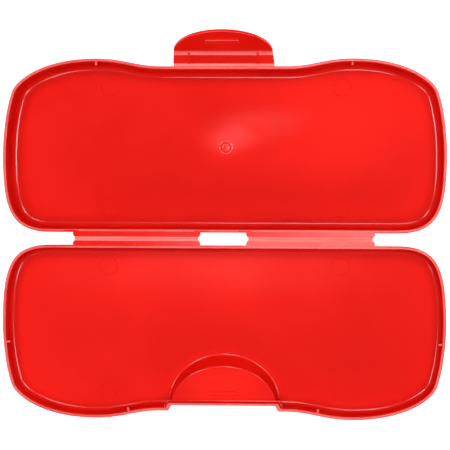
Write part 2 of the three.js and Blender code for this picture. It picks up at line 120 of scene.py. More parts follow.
# %% [markdown]
# The operators of Blender act on whatever is selected, so a few small helpers start each job from a
# clean selection, pick faces or edges by their place or their normal, and leave edit mode again.

# %% Helpers for working by hand
def leave_edit_mode():
    if bpy.context.object and bpy.context.object.mode != "OBJECT":
        bpy.ops.object.mode_set(mode="OBJECT")


def work_on(piece):
    """Makes a piece the only selected object and the active one."""
    leave_edit_mode()
    bpy.ops.object.select_all(action="DESELECT")
    piece.select_set(True)
    bpy.context.view_layer.objects.active = piece


def start_piece(name):
    """Names the primitive that was just added and opens it in edit mode with all of it selected."""
    piece = bpy.context.object
    piece.name = name
    piece.data.name = name
    work_on(piece)
    bpy.ops.object.transform_apply(location=True, rotation=True, scale=True)
    bpy.ops.object.mode_set(mode="EDIT")
    bpy.ops.mesh.select_all(action="SELECT")
    return piece


def before_primitive():
    """Leaves nothing selected, so that the next primitive is the only thing worked on."""
    leave_edit_mode()
    bpy.ops.object.select_all(action="DESELECT")


def pick(kind, test):
    """In edit mode: selects just the "VERT", "EDGE" or "FACE" elements that pass a test."""
    mesh = bpy.context.object.data
    bpy.ops.mesh.select_mode(type=kind)
    bpy.ops.mesh.select_all(action="DESELECT")
    shape = bmesh.from_edit_mesh(mesh)
    elements = {"VERT": shape.verts, "EDGE": shape.edges, "FACE": shape.faces}[kind]
    chosen = [element for element in elements if test(element)]
    for element in chosen:
        element.select_set(True)
    shape.select_flush_mode()
    bmesh.update_edit_mesh(mesh)
    return len(chosen)


def middle_of(edge):
    return (edge.verts[0].co + edge.verts[1].co) / 2


def push(x, y, z):
    """Extrudes what is selected by a distance."""
    bpy.ops.mesh.extrude_region_move(TRANSFORM_OT_translate={"value": (x, y, z)})


def face_outwards():
    bpy.ops.mesh.select_all(action="SELECT")
    bpy.ops.mesh.normals_make_consistent(inside=False)


NEAR = 0.1  # how close, in millimetres, a vertex or an edge has to be to a place to be picked there
SAME = 0.01  # closer than this, two places are the same one
print("picking within", NEAR, "mm, merging within", SAME, "mm")

# %% [markdown]
# A wall that leans, turns a corner and becomes a floor is one face that is inset again and again:
# each inset moves its edge inwards and the face along its normal. A quarter round is a short list
# of such steps, either from upright to level or from level to upright.

# %% Quarter rounds as inset steps
ROUND_STEPS = 6


def quarter(radius, inwards, along):
    angles = [math.pi / 2 * step / ROUND_STEPS for step in range(ROUND_STEPS + 1)]
    return [
        (radius * (inwards(b) - inwards(a)), radius * (along(b) - along(a)))
        for a, b in zip(angles, angles[1:])
    ]


def upright_to_level(radius):
    return quarter(radius, lambda turn: 1 - math.cos(turn), math.sin)


def level_to_upright(radius):
    return quarter(radius, math.sin, lambda turn: 1 - math.cos(turn))


def inset_by(steps, direction=1):
    """Insets the picked face once for each (inwards, along) step. Direction -1 sinks it."""
    for inwards, along in steps:
        bpy.ops.mesh.inset(thickness=inwards, depth=direction * along, use_even_offset=True)


print("a 2 mm round:", [(round(a, 3), round(b, 3)) for a, b in upright_to_level(2)])

# %% [markdown]
# Booleans join and cut whole pieces here. They keep every surface exactly where it was drawn, so
# the roundings are drawn on each piece before it is joined. The piece that was used up is removed.

# %% Join and cut
def combine(piece, other, operation):
    work_on(piece)
    bpy.ops.object.modifier_add(type="BOOLEAN")
    modifier = piece.modifiers[-1]
    modifier.operation = operation
    modifier.solver = "MANIFOLD"
    modifier.object = other
    bpy.ops.object.modifier_apply(modifier=modifier.name)
    bpy.data.objects.remove(other)
    return piece


def round_edges(piece, radius, segments=3, angle=30):
    """Finishes a piece with a Bevel modifier on all its edges that turn by more than an angle."""
    work_on(piece)
    bpy.ops.object.modifier_add(type="BEVEL")
    bevel = piece.modifiers[-1]
    bevel.width = radius
    bevel.segments = segments
    bevel.limit_method = "ANGLE"
    bevel.angle_limit = math.radians(angle)
    bpy.ops.object.modifier_apply(modifier=bevel.name)
    return piece


def settle(piece, place, smooth_angle=32):
    """Moves a finished piece to its place on the case and gives it soft shading across its rounds."""
    work_on(piece)
    piece.matrix_world = place
    bpy.ops.object.transform_apply(location=True, rotation=True, scale=True)
    bpy.ops.object.shade_smooth_by_angle(angle=math.radians(smooth_angle))
    bpy.ops.object.modifier_add(type="WEIGHTED_NORMAL")
    weighted = piece.modifiers[-1]
    weighted.keep_sharp = True
    weighted.weight = 100
    bpy.ops.object.modifier_apply(modifier=weighted.name)
    low = [round(min(v.co[i] for v in piece.data.vertices) / MM, 1) for i in range(3)]
    high = [round(max(v.co[i] for v in piece.data.vertices) / MM, 1) for i in range(3)]
    print(f"{piece.name}: {len(piece.data.polygons)} faces, from {low} to {high}")
    return piece


# %% [markdown]
# Both trays have the same plan: straight at the hinge, large round back corners, ends that bulge
# and then lean in, and a front edge with two humps and a dip where the latch sits. It is drawn as
# one closed Bezier curve with five knots on each half, because a few knots with long handles give
# a fair curve that is easy to correct. The curve is then made a mesh and filled with one face.

# %% The plan of a tray
BACK_EDGE = 2.9
TRAY_REACH = 81.2
FRONT_DIP = 3.5
DIP_EDGE = TRAY_REACH - FRONT_DIP
DIP_HALF_WIDTH = 28
DIP_HANDLE = 12
HUMP_FROM_END = 42
HUMP_HANDLES = (23.5, 13)
WIDEST_AT = 38.4
WIDEST_HANDLES = (26.1, 5.4)
SHOULDER_FROM_END = 3.95
SHOULDER_FROM_FRONT = 15
SHOULDER_LEAN = math.radians(19)
SHOULDER_HANDLES = (9.8, 6)
CORNER_FROM_END = 21.65
CORNER_HANDLE = 17.7
OUTLINE_STEPS = 24


def straight_knot(at, handles, step):
    """(handle before, knot, handle after) for a knot whose handles lie along a direction."""
    at, step = Vector(at), Vector(step)
    return at - handles[0] * step, at, at + handles[1] * step


def right_knots():
    """The knots of the right half, from the back to the front."""
    corner = HALF_LENGTH - CORNER_FROM_END
    hump = HALF_LENGTH - HUMP_FROM_END
    shoulder = (HALF_LENGTH - SHOULDER_FROM_END, TRAY_REACH - SHOULDER_FROM_FRONT)
    lean = (-math.sin(SHOULDER_LEAN), math.cos(SHOULDER_LEAN))
    return [
        straight_knot((corner, BACK_EDGE), (corner * 2 / 3, CORNER_HANDLE), (1, 0)),
        straight_knot((HALF_LENGTH, WIDEST_AT), WIDEST_HANDLES, (0, 1)),
        straight_knot(shoulder, SHOULDER_HANDLES, lean),
        straight_knot((hump, TRAY_REACH), HUMP_HANDLES, (-1, 0)),
        straight_knot((DIP_HALF_WIDTH, DIP_EDGE), (DIP_HANDLE, DIP_HALF_WIDTH * 2 / 3), (-1, 0)),
    ]


def rim_plan(name, height):
    """A flat face inside the outer edge of the rim, at a height."""
    right = right_knots()
    left = [
        [(-point[0], point[1]) for point in (after, knot, before)]
        for before, knot, after in reversed(right)
    ]
    before_primitive()
    bpy.ops.curve.primitive_bezier_curve_add()
    curve = bpy.context.object
    spline = curve.data.splines[0]
    spline.bezier_points.add(len(right) + len(left) - len(spline.bezier_points))
    for bezier, (before, knot, after) in zip(spline.bezier_points, right + left):
        bezier.handle_left_type = bezier.handle_right_type = "FREE"
        bezier.co = (knot[0], knot[1], height)
        bezier.handle_left = (before[0], before[1], height)
        bezier.handle_right = (after[0], after[1], height)
    spline.use_cyclic_u = True
    spline.resolution_u = OUTLINE_STEPS
    bpy.ops.object.convert(target="MESH")
    piece = start_piece(name)
    bpy.ops.mesh.remove_doubles(threshold=SAME)
    bpy.ops.mesh.edge_face_add()
    return piece


plan = rim_plan("rim_plan", 0)
leave_edit_mode()
RIM_POINTS = [vertex.co.copy() for vertex in plan.data.vertices]
bpy.data.objects.remove(plan)
print("points round the rim:", len(RIM_POINTS))

# %% [markdown]
# The wall of a tray is 1.4 mm thick and leans out by three degrees, so that the case lets go of its
# mould. The rim has a short upright band and two small rounds, and the foot of the wall sweeps into
# the floor. The round inside is nearly as wide as the one outside, which leaves the foot of the wall
# a little thicker. A narrow flat ring is kept inside each round, so that the wide floor shades flat.

# %% Walls, rim and floor
WALL = 1.4
FLOOR = 1.5
RIM_BAND = 1.6
RIM_ROUND = 0.45
FLAT_RING = 0.6
DRAFT = math.tan(math.radians(3))
LEVEL = 0.99  # a face whose normal is at least this upright counts as level


def faces_up(face):
    return face.normal.z > LEVEL


def faces_down(face):
    return face.normal.z < -LEVEL


def outer_block(name, height, fillet):
    """The outside of a tray as a solid block, its rim plane at zero and the round of the rim drawn."""
    block = rim_plan(name, -RIM_ROUND)
    push(0, 0, RIM_ROUND - RIM_BAND)
    face_outwards()
    drop = height - fillet - RIM_BAND
    pick("FACE", faces_down)
    inset_by([(drop * DRAFT, drop)] + upright_to_level(fillet) + [(FLAT_RING, 0)])
    pick("FACE", lambda face: faces_up(face) and face.calc_center_median().z > -RIM_BAND)
    inset_by(upright_to_level(RIM_ROUND))
    return block


def sink_room(height, fillet):
    """From the picked face over the rim: the inner round, the inner wall and the floor."""
    drop = height - FLOOR - fillet - RIM_ROUND
    inset_by([(WALL - 2 * RIM_ROUND, 0)])
    inset_by(level_to_upright(RIM_ROUND) + [(drop * DRAFT, drop)], direction=-1)
    inset_by(upright_to_level(fillet) + [(FLAT_RING, 0)], direction=-1)


BASE_OUTER_FILLET = 3.4
BASE_INNER_FILLET = 3.4
base_shell = outer_block("base_shell", BASE_HEIGHT, BASE_OUTER_FILLET)
sink_room(BASE_HEIGHT, BASE_INNER_FILLET)
leave_edit_mode()
print("base shell so far:", len(base_shell.data.polygons), "faces")

# %% [markdown]
# Each hinge leaf is a strip that leaves the back of a tray level with its rim and ends at the thin
# film. It starts as a cube, the two corners at the film are beveled round as seen from above, and a
# small Bevel modifier breaks all its edges. It runs into the wall, so a union makes them one.

# %% Hinge leaves
HINGE_INNER_END = 10.35
HINGE_LENGTH = 57.6
FILM_EDGE = 0.62
LEAF_THICKNESS = 1.2
LEAF_CORNER = 1.6
LEAF_ROOT = BACK_EDGE + WALL / 2
BROKEN_EDGE = 0.12


def hinge_leaf(side):
    middle_x = side * (HINGE_INNER_END + HINGE_LENGTH / 2)
    before_primitive()
    bpy.ops.mesh.primitive_cube_add(
        size=1,
        location=(middle_x, (FILM_EDGE + LEAF_ROOT) / 2, -LEAF_THICKNESS / 2),
        scale=(HINGE_LENGTH, LEAF_ROOT - FILM_EDGE, LEAF_THICKNESS),
    )
    leaf = start_piece("leaf")
    pick("EDGE", lambda e: middle_of(e).y < FILM_EDGE + NEAR and abs(middle_of(e).x - middle_x) > NEAR)
    bpy.ops.mesh.bevel(offset=LEAF_CORNER, segments=8, affect="EDGES")
    leave_edit_mode()
    return round_edges(leaf, BROKEN_EDGE, segments=2)


SIDES = {"left": -1, "right": 1}
for side in SIDES.values():
    combine(base_shell, hinge_leaf(side), "UNION")
print("base shell with leaves:", len(base_shell.data.polygons), "faces")

# %% [markdown]
# Small upright ribs on the inside of the walls stand a millimetre proud of the rim and line the two
# halves up as the case shuts. Each one starts as a cube against the wall, its lower end tapers into
# the wall, and the part above the rim is set back so that the other rim slides past it.

# %% Locating ribs
RIB_WIDTH = 1.1
RIB_DEPTH = 1.9
RIB_PROUD = 1
RIB_CLEARANCE = 0.35
RIB_SETBACK = WALL + RIB_CLEARANCE
RIB_STEP_AT = -0.3
RIB_TAPER_FROM = 0.55  # as a share of the rib's length
RIB_TAPER = 0.5  # as a share of the rib's depth
RIB_ROUND = 0.35
RIB_BURIED = 0.4


def on_rim(test, measure, value):
    """The point of the rim's outer edge where a coordinate has a value, and the direction inwards."""
    points = [p for p in RIM_POINTS if test(p)]
    nearest = min(points, key=lambda p: abs(p[measure] - value))
    i = RIM_POINTS.index(nearest)
    before, after = RIM_POINTS[i - 1], RIM_POINTS[(i + 1) % len(RIM_POINTS)]
    tangent = (after - before).normalized()
    start = nearest + tangent * ((value - nearest[measure]) / tangent[measure])
    return start, Vector((-tangent.y, tangent.x, 0))


def locating_rib(start, inwards, length):
    """A rib against the wall at a point of the rim. Its local y points into the tray."""
    before_primitive()
    near = WALL - RIB_BURIED
    depth = RIB_DEPTH + RIB_BURIED
    bpy.ops.mesh.primitive_cube_add(
        size=1,
        location=(0, near + depth / 2, RIB_PROUD - length / 2),
        scale=(RIB_WIDTH, depth, length),
    )
    rib = start_piece("rib")
    for height in (RIB_STEP_AT, -length * RIB_TAPER_FROM):
        bpy.ops.mesh.select_all(action="SELECT")
        bpy.ops.mesh.bisect(plane_co=(0, 0, height), plane_no=(0, 0, 1), clear_inner=False)
    pick("VERT", lambda v: v.co.z > -NEAR and v.co.y < near + NEAR)
    bpy.ops.transform.translate(value=(0, RIB_SETBACK - near, 0))
    pick("VERT", lambda v: v.co.z < RIB_PROUD - length + NEAR and v.co.y > near + NEAR)
    bpy.ops.transform.translate(value=(0, -RIB_DEPTH * RIB_TAPER, 0))
    leave_edit_mode()
    round_edges(rib, RIB_ROUND, segments=3, angle=20)
    turn = math.atan2(inwards.y, inwards.x) - math.pi / 2
    rib.matrix_world = Matrix.Translation((start.x, start.y, 0)) @ Matrix.Rotation(turn, 4, "Z")
    work_on(rib)
    bpy.ops.object.transform_apply(location=True, rotation=True, scale=True)
    return rib


def front_rib(side, at, length):
    """A rib on the front wall, so far to the left or right of the middle."""
    start, inwards = on_rim(lambda p: p.y > WIDEST_AT and p.x * side > 0, 0, side * at)
    return locating_rib(start, inwards, length)


BASE_RIB_AT = 57.7
for side in SIDES.values():
    combine(base_shell, front_rib(side, BASE_RIB_AT, BASE_HEIGHT - FLOOR), "UNION")
print("base shell with ribs:", len(base_shell.data.polygons), "faces")

# %% [markdown]
# Ejector pins push the cold case out of its mould and leave faint rings on the floors. A thin torus
# that only just dips into the floor cuts such a ring. Where the plastic entered, in the middle of
# the base, a small nub stands in a low ring: its profile is drawn as a chain of points and spun.

# %% Marks of the mould
PIN_RADIUS = 4
PIN_TUBE = 0.35
PIN_DEPTH = 0.12


def pin_ring(x, y, floor):
    before_primitive()
    bpy.ops.mesh.primitive_torus_add(
        location=(x, y, floor + PIN_TUBE - PIN_DEPTH),
        major_radius=PIN_RADIUS,
        minor_radius=PIN_TUBE,
        major_segments=64,
        minor_segments=16,
    )
    ring = start_piece("pin_ring")
    leave_edit_mode()
    return ring


GATE_AT = (0.3, 41.6)
GATE_BURIED = 0.5
GATE_PROFILE = [
    (0, 0.42), (0.6, 0.38), (1.1, 0.08), (1.5, -0.02), (1.9, 0.12), (2.3, 0.36), (2.6, 0.34),
    (3, 0.08), (3.8, 0.02), (4.2, 0.05), (4.6, 0.02), (4.8, -0.1),
]


def gate_mark(x, y, floor):
    """The nub and its ring, from a profile of (radius, height over the floor), middle first."""
    before_primitive()
    bpy.ops.mesh.primitive_plane_add(size=1, location=(x, y, floor))
    mark = start_piece("gate_mark")
    bpy.ops.mesh.merge(type="CENTER")
    bpy.ops.transform.translate(value=(0, 0, GATE_PROFILE[0][1]))
    edge_radius = GATE_PROFILE[-1][0]
    closed = GATE_PROFILE + [(edge_radius, -GATE_BURIED), (0, -GATE_BURIED)]
    for (r0, h0), (r1, h1) in zip(closed, closed[1:]):
        push(r1 - r0, 0, h1 - h0)
    bpy.ops.mesh.select_all(action="SELECT")
    bpy.ops.mesh.spin(steps=48, angle=2 * math.pi, center=(x, y, 0), axis=(0, 0, 1))
    bpy.ops.mesh.select_all(action="SELECT")
    bpy.ops.mesh.remove_doubles(threshold=0.001)
    face_outwards()
    leave_edit_mode()
    return mark


BASE_FLOOR_AT = FLOOR - BASE_HEIGHT
PIN_X = 52.8
BASE_PIN_ROWS = (14.2, 68.9)
for side in SIDES.values():
    for y in BASE_PIN_ROWS:
        combine(base_shell, pin_ring(side * PIN_X, y, BASE_FLOOR_AT), "DIFFERENCE")
combine(base_shell, gate_mark(*GATE_AT, BASE_FLOOR_AT), "UNION")
print("base shell with its marks:", len(base_shell.data.polygons), "faces")

# %% [markdown]
# The lid is as long and as deep as the base but shallower, and its front is cut twice: a notch lets
# the bridge of the latch fold in front of it, and a half-moon recess under the tongue leaves room
# for a fingertip. Inside the lid that recess shows as a raised half-moon. Solid block minus room is
# the simplest way to get both skins right: each cut is made in the block, and the same cut, grown
# by the thickness of the plastic, is taken out of the room before the room is cut from the block.

# %% The solid lid and the room in it
LID_HEIGHT = 11.5
LID_OUTER_FILLET = 2.9
LID_INNER_FILLET = 2.5
LID_FLOOR_AT = FLOOR - LID_HEIGHT
OVER_RIM = 3
SUNK = 0.02  # a round ends this far past the plane it meets, so that no two faces lie in one plane

lid_shell = outer_block("lid_shell", LID_HEIGHT, LID_OUTER_FILLET)
leave_edit_mode()


def lid_room():
    room = rim_plan("lid_room", OVER_RIM)
    bpy.ops.mesh.inset(thickness=WALL - RIM_ROUND, use_even_offset=True)
    bpy.ops.mesh.select_all(action="INVERT")
    bpy.ops.mesh.delete(type="FACE")
    bpy.ops.mesh.select_all(action="SELECT")
    push(0, 0, SUNK - OVER_RIM)
    face_outwards()
    pick("FACE", faces_down)
    drop = LID_HEIGHT - FLOOR - LID_INNER_FILLET - RIM_ROUND + SUNK
    inset_by(level_to_upright(RIM_ROUND) + [(drop * DRAFT, drop)])
    inset_by(upright_to_level(LID_INNER_FILLET) + [(FLAT_RING, 0)])
    leave_edit_mode()
    return room


room = lid_room()
print("lid block and room:", len(lid_shell.data.polygons), len(room.data.polygons), "faces")

# %% The notch
NOTCH_SETBACK = 2.5
NOTCH_FACE = DIP_EDGE - NOTCH_SETBACK
NOTCH_HALF_WIDTH = 23.25
NOTCH_SPREAD = 1.4  # how much wider the notch is at its mouth, on each side
NOTCH_SLANT = NOTCH_SPREAD / NOTCH_SETBACK
NOTCH_SKIN = 1.15
NOTCH_FOOT = 1
BEYOND = 5
PLATFORM_AT = -4


def notch_plan(name, skin, height):
    """The trapezoid of the notch, grown by a skin, as a flat face that runs out of the front."""
    face = NOTCH_FACE - skin
    mouth = DIP_EDGE + BEYOND
    width = 2 * (NOTCH_HALF_WIDTH + skin)
    spread = 1 + 2 * NOTCH_SLANT * (mouth - face) / width
    before_primitive()
    bpy.ops.mesh.primitive_plane_add(size=1, location=(0, (face + mouth) / 2, height))
    plan = start_piece(name)
    centre = (0, (face + mouth) / 2, height)
    bpy.ops.transform.resize(value=(width, mouth - face, 1), center_override=centre)
    pick("VERT", lambda v: v.co.y > centre[1])
    bpy.ops.transform.resize(value=(spread, 1, 1), center_override=centre)
    bpy.ops.mesh.select_all(action="SELECT")
    return plan


def notch_cut():
    above = 1
    cut = notch_plan("notch_cut", RIM_ROUND, above)
    push(0, 0, -above)
    face_outwards()
    pick("FACE", faces_down)
    inset_by(level_to_upright(RIM_ROUND))
    push(0, 0, -LID_HEIGHT - BEYOND)
    leave_edit_mode()
    return cut


def notch_wall():
    """The notch grown by the thickness of its wall, with a small foot on the half-moon."""
    foot_at = PLATFORM_AT - SUNK
    wall = notch_plan("notch_wall", NOTCH_SKIN + NOTCH_FOOT, foot_at)
    push(0, 0, -LID_HEIGHT)
    face_outwards()
    pick("FACE", faces_up)
    inset_by(level_to_upright(NOTCH_FOOT))
    push(0, 0, -RIM_ROUND - foot_at - NOTCH_FOOT)
    inset_by(upright_to_level(RIM_ROUND))
    leave_edit_mode()
    return wall


combine(lid_shell, notch_cut(), "DIFFERENCE")
combine(room, notch_wall(), "DIFFERENCE")
print("after the notch:", len(lid_shell.data.polygons), len(room.data.polygons), "faces")

# %% [markdown]
# The half-moon is half an ellipse. A filled circle is scaled, bisected at the notch and run out of
# the front, and is then pushed down ring by ring while it grows, because its far wall leans more
# than its sides. Its foot flares out in a quarter round, and its top edge is beveled round.

# %% The half-moon recess
RECESS_CEILING_AT = -5.3
RECESS_HALF_WIDTH = 22.65
RECESS_REACH = 16.7
RECESS_SIDE_SLOPE = 1.3
RECESS_END_SLOPE = 4.6
RECESS_SKIN = PLATFORM_AT - RECESS_CEILING_AT
RECESS_SIDE_SKIN = 0.8
RECESS_ROUND = 0.5
PLATFORM_FOOT = 0.8
MOON_POINTS = 160
STRAIGHT = math.radians(0.5)


def half_moon(name, skin, side_skin, foot_at, foot_round):
    """The recess grown by a skin, as a block that goes on down through a floor at foot_at."""
    half_width = RECESS_HALF_WIDTH + side_skin
    reach = RECESS_REACH + side_skin
    top = RECESS_CEILING_AT + skin
    centre = (0, NOTCH_FACE, 0)
    before_primitive()
    bpy.ops.mesh.primitive_circle_add(
        vertices=MOON_POINTS, radius=1, fill_type="NGON", location=(0, NOTCH_FACE, top)
    )
    moon = start_piece(name)
    bpy.ops.transform.resize(value=(half_width, reach, 1), center_override=centre)
    bpy.ops.mesh.bisect(plane_co=centre, plane_no=(0, 1, 0), clear_outer=True)
    pick("EDGE", lambda edge: all(v.co.y > NOTCH_FACE - SAME for v in edge.verts))
    push(0, DIP_EDGE + BEYOND - NOTCH_FACE, 0)
    bpy.ops.mesh.select_all(action="SELECT")
    bpy.ops.mesh.dissolve_limited(angle_limit=STRAIGHT)
    bpy.ops.mesh.select_all(action="SELECT")

    slope = 1 / (LID_HEIGHT + RECESS_CEILING_AT)
    stations = [(top - foot_at + SUNK - foot_round, 0)]
    flare = 0
    depth = stations[0][0]
    for outwards, down in upright_to_level(foot_round):
        flare += outwards
        depth += down
        stations.append((depth, flare))
    wide = half_width
    far = reach
    deep = 0
    for depth, flare in stations:
        next_wide = half_width + RECESS_SIDE_SLOPE * slope * depth + flare
        next_far = reach + RECESS_END_SLOPE * slope * depth + flare
        push(0, 0, deep - depth)
        bpy.ops.transform.resize(value=(next_wide / wide, next_far / far, 1), center_override=centre)
        wide, far, deep = next_wide, next_far, depth
    push(0, 0, -BEYOND)
    face_outwards()
    pick("EDGE", lambda edge: all(abs(v.co.z - top) < SAME for v in edge.verts))
    bpy.ops.mesh.bevel(offset=RECESS_ROUND, segments=4, affect="EDGES")
    leave_edit_mode()
    return moon


recess_cut = half_moon("recess_cut", 0, 0, -LID_HEIGHT, RECESS_ROUND)
recess_wall = half_moon("recess_wall", RECESS_SKIN, RECESS_SIDE_SKIN, LID_FLOOR_AT, PLATFORM_FOOT)
combine(lid_shell, recess_cut, "DIFFERENCE")
combine(room, recess_wall, "DIFFERENCE")
print("after the recess:", len(lid_shell.data.polygons), len(room.data.polygons), "faces")

# %% [markdown]
# The catch of the latch drops into a groove in the ceiling of the recess, and the skin over that
# groove stands up as a low bump on the half-moon. Both are the same bar with round edges: one is cut
# out of the block and the other out of the room.

# %% The groove for the catch
CATCH_LENGTH = 15
CATCH_REACH = 9.4
GROOVE_SHIFT = 1.1  # from the crest of the catch towards its ramp, which is the longer side
GROOVE_AT = ROOT_AXIS.y - HINGE_AXIS.y - CATCH_REACH + GROOVE_SHIFT
GROOVE_SIZE = (15.8, 3.7, 0.9)
GROOVE_ROUND = 0.2
BUMP_SIZE = (14, 2.6, 0.35)
BUMP_ROUND = 0.3
BAR_TAPER = 0.6


def soft_bar(name, size, foot, radius):
    """A bar with round edges that stands on a height and goes on below it."""
    before_primitive()
    bpy.ops.mesh.primitive_cube_add(
        size=1,
        location=(0, GROOVE_AT, foot + (size[2] - BEYOND) / 2),
        scale=(size[0], size[1], size[2] + BEYOND),
    )
    bar = start_piece(name)
    pick("FACE", faces_up)
    bpy.ops.transform.resize(value=(1 - BAR_TAPER / size[0], 1 - BAR_TAPER / size[1], 1))
    leave_edit_mode()
    return round_edges(bar, radius, segments=4)


combine(lid_shell, soft_bar("groove_cut", GROOVE_SIZE, RECESS_CEILING_AT, GROOVE_ROUND), "DIFFERENCE")
combine(room, soft_bar("groove_wall", BUMP_SIZE, PLATFORM_AT, BUMP_ROUND), "DIFFERENCE")
combine(lid_shell, room, "DIFFERENCE")
print("lid shell:", len(lid_shell.data.polygons), "faces")

# %% [markdown]
# The lid gets the same leaves, ribs and pin marks as the base. Two more ribs stand on its end walls.

# %% The lid's leaves, ribs and pin marks
LID_RIB_AT = 42.3
LID_SIDE_RIB_AT = 47
LID_PIN_ROWS = (12.9, 70.4)


def side_rib(side, at, length):
    """A rib on the end wall, so far in front of the hinge."""
    start, inwards = on_rim(lambda p: p.x * side > HALF_LENGTH - CORNER_FROM_END, 1, at)
    return locating_rib(start, inwards, length)


for side in SIDES.values():
    combine(lid_shell, hinge_leaf(side), "UNION")
    combine(lid_shell, front_rib(side, LID_RIB_AT, LID_HEIGHT - FLOOR), "UNION")
    combine(lid_shell, side_rib(side, LID_SIDE_RIB_AT, LID_HEIGHT - FLOOR), "UNION")
    for y in LID_PIN_ROWS:
        combine(lid_shell, pin_ring(side * PIN_X, y, LID_FLOOR_AT), "DIFFERENCE")
print("lid shell finished:", len(lid_shell.data.polygons), "faces")

# %% [markdown]
# The hinge film is a third of a millimetre thick. As the lid shuts, all of the turn happens along
# one line, so the film is drawn as two thin flanks, one for each leaf, with a fine round bead
# between them whose middle is the hinge axis: a round bead looks the same however far it turns.

# %% Hinge films
BEAD_RADIUS = 0.24
FLANK_TOP = 0.04
FLANK_THICKNESS = 0.34
FLANK_OVERLAP = 0.3
FLANK_END = FILM_EDGE + FLANK_OVERLAP
FILM_FROM_END = 0.6 * LEAF_CORNER


def hinge_film(name, side):
    length = HINGE_LENGTH - 2 * FILM_FROM_END
    middle_x = side * (HINGE_INNER_END + HINGE_LENGTH / 2)
    before_primitive()
    bpy.ops.mesh.primitive_cylinder_add(
        vertices=16,
        radius=BEAD_RADIUS,
        depth=length,
        location=(middle_x, 0, AXIS_ABOVE_RIM),
        rotation=(0, math.pi / 2, 0),
    )
    film = start_piece(name)
    leave_edit_mode()
    for toward in (-1, 1):
        before_primitive()
        bpy.ops.mesh.primitive_cube_add(
            size=1,
            location=(middle_x, toward * FLANK_END / 2, FLANK_TOP - FLANK_THICKNESS / 2),
            scale=(length, FLANK_END, FLANK_THICKNESS),
        )
        flank = start_piece("flank")
        leave_edit_mode()
        combine(film, flank, "UNION")
    return film


films = {word: hinge_film(f"hinge_film_{word}", side) for word, side in SIDES.items()}
print("films:", sorted(films))

# %% [markdown]
# The two films of the latch are short strips that leave their rest bend in the mould: a small
# upright face as wide as the latch is spun about a line parallel to the joint's axis.

# %% Latch films
FILM = 0.4
FILM_WIDTH = 1.5
ROOT_WIDTH = 45.7
KNEE_WIDTH = 44.6
BENT_STEPS = 10
FILM_TAIL = 0.35
FILM_MARGIN = 0.3
FILM_ROUND = 0.08


def bent_film(name, width, angle, start):
    """A film that leaves y = start along +Y and turns upwards by an angle, with a tail at each end."""
    radius = FILM_WIDTH / angle
    corner = (0, start - FILM_TAIL, 0)
    before_primitive()
    bpy.ops.mesh.primitive_plane_add(size=1, location=corner, rotation=(math.pi / 2, 0, 0))
    film = start_piece(name)
    bpy.ops.transform.resize(value=(width, 1, FILM), center_override=corner)
    push(0, FILM_TAIL, 0)
    bpy.ops.mesh.spin(
        steps=BENT_STEPS, angle=-angle, center=(0, start, radius), axis=(1, 0, 0)
    )
    push(0, FILM_TAIL * math.cos(angle), FILM_TAIL * math.sin(angle))
    face_outwards()
    leave_edit_mode()
    return round_edges(film, FILM_ROUND, segments=2, angle=50)


root_film = bent_film("latch_root_film", ROOT_WIDTH - FILM_MARGIN, BRIDGE_ANGLE, -FILM_WIDTH / 2)
knee_film = bent_film("latch_knee_film", KNEE_WIDTH - FILM_MARGIN, TONGUE_FOLD, -FILM_WIDTH / 2)
print("latch films bend", [round(math.degrees(a)) for a in (BRIDGE_ANGLE, TONGUE_FOLD)], "degrees")

# %% [markdown]
# The bridge of the latch is a stiff strip between its two films. Both of its ends are beveled on
# the inner face, so that the latch can fold inwards there, and two small wedges stiffen it.

# %% The bridge
LATCH_SKIN = 1.4
HALF_FILM = FILM / 2
INNER_FACE = LATCH_SKIN - HALF_FILM
BRIDGE_START = FILM_WIDTH / 2
BRIDGE_END = BRIDGE_REACH - FILM_WIDTH / 2
WEDGE_AT = 15.4
WEDGE_WIDTH = 2.3
WEDGE_HEIGHT = 0.9
WEDGE_FROM_ROOT = 0.9
WEDGE_FROM_KNEE = 0.15
WEDGE_BURIED = 1
WEDGE_TOP = (0.35, 0.9)  # its width and length at the top, as shares of those at its foot
WEDGE_KNEE_WIDTH = 0.6  # as a share of its width at the root
WEDGE_ROUND = 0.15


def latch_bridge():
    length = BRIDGE_END - BRIDGE_START
    middle = (0, (BRIDGE_START + BRIDGE_END) / 2, INNER_FACE - LATCH_SKIN / 2)
    before_primitive()
    bpy.ops.mesh.primitive_cube_add(size=1, location=middle, scale=(ROOT_WIDTH, length, LATCH_SKIN))
    bridge = start_piece("latch_bridge_skin")
    pick("VERT", lambda v: v.co.y > middle[1])
    bpy.ops.transform.resize(value=(KNEE_WIDTH / ROOT_WIDTH, 1, 1), center_override=middle)
    pick("EDGE", lambda e: middle_of(e).z > INNER_FACE - NEAR and abs(middle_of(e).y - middle[1]) > NEAR)
    bpy.ops.mesh.bevel(offset=INNER_FACE - HALF_FILM, segments=1, affect="EDGES")
    leave_edit_mode()
    return round_edges(bridge, BROKEN_EDGE, segments=2)


